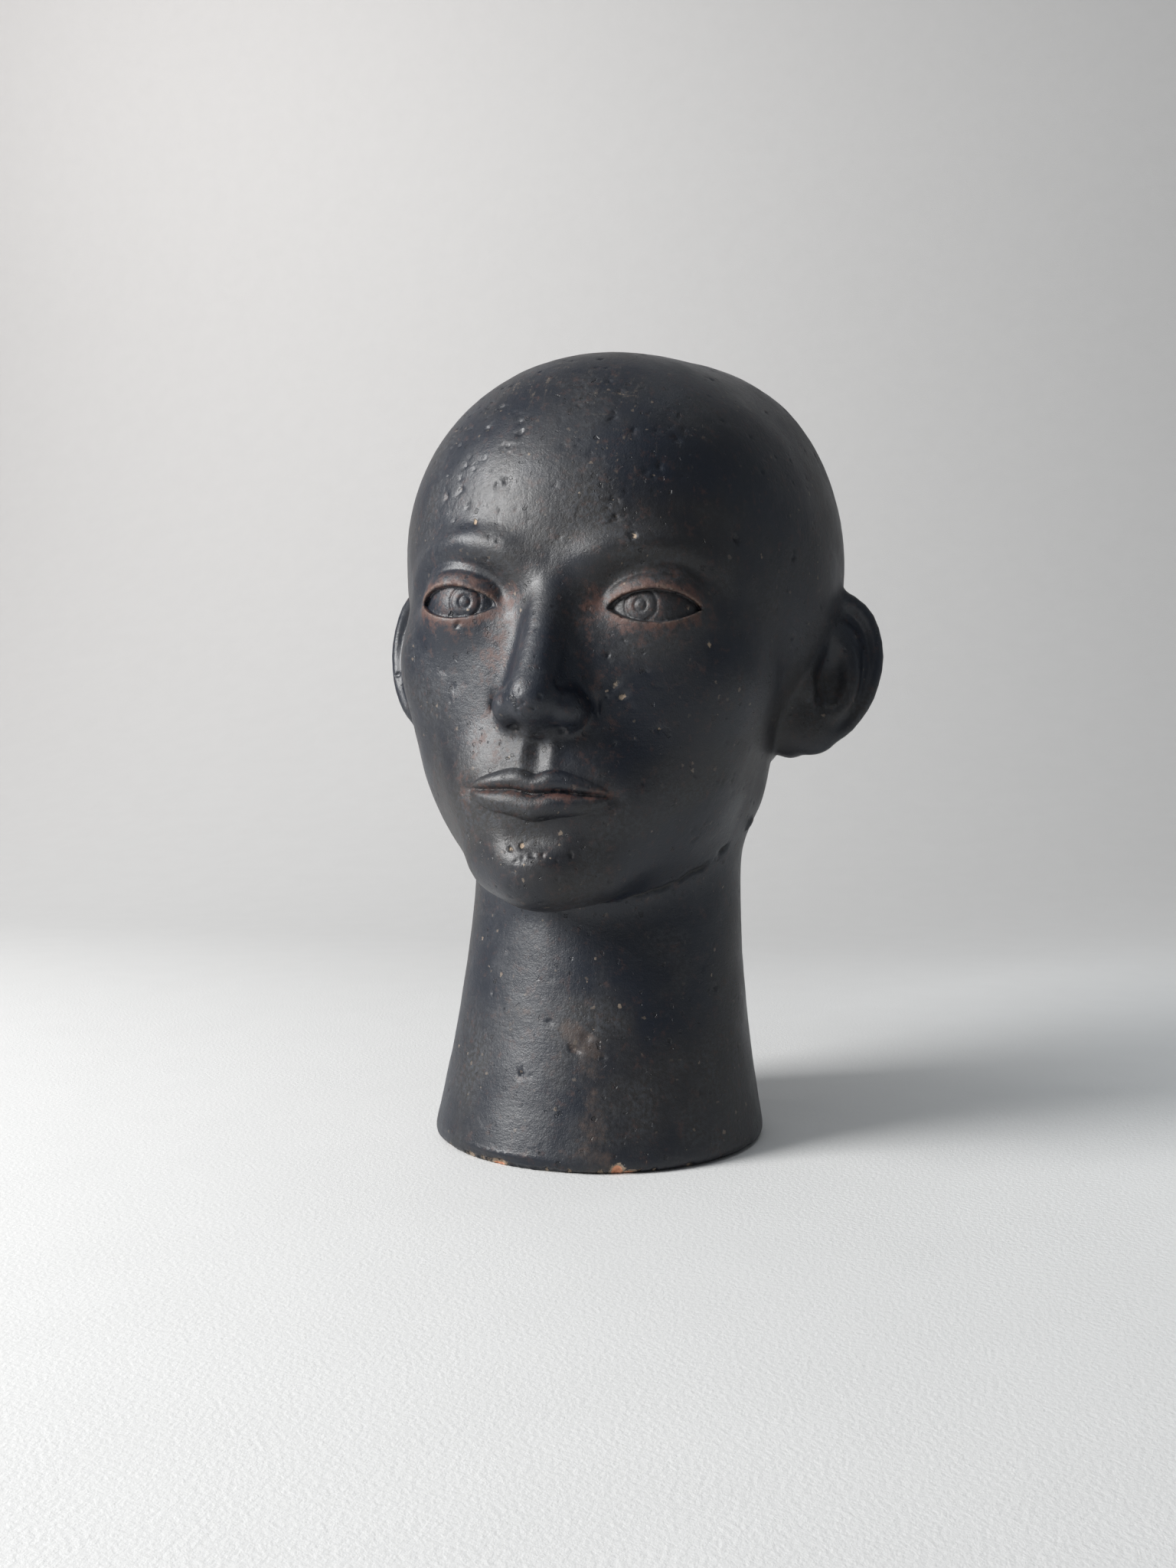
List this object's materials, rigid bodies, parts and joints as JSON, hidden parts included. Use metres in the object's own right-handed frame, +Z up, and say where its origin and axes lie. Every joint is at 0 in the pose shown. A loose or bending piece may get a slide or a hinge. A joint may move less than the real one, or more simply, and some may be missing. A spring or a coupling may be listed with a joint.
{
  "type": "ceramic bust",
  "caption": "Life-size bald head on a long flared neck, hollow fired clay with a burnished black surface, cut flat below.",
  "frame": {"origin": "on the table, under the middle of the whole bust as seen from above", "axes": "+Z up along the neck, -Y the way the face looks, +X to the bust's own left"},
  "size_m": [0.2203, 0.2283, 0.3173],
  "materials": {
    "black_slip": "satin"
  },
  "bodies": {
    "root": {"bust": "black_slip"}
  },
  "joints": []
}
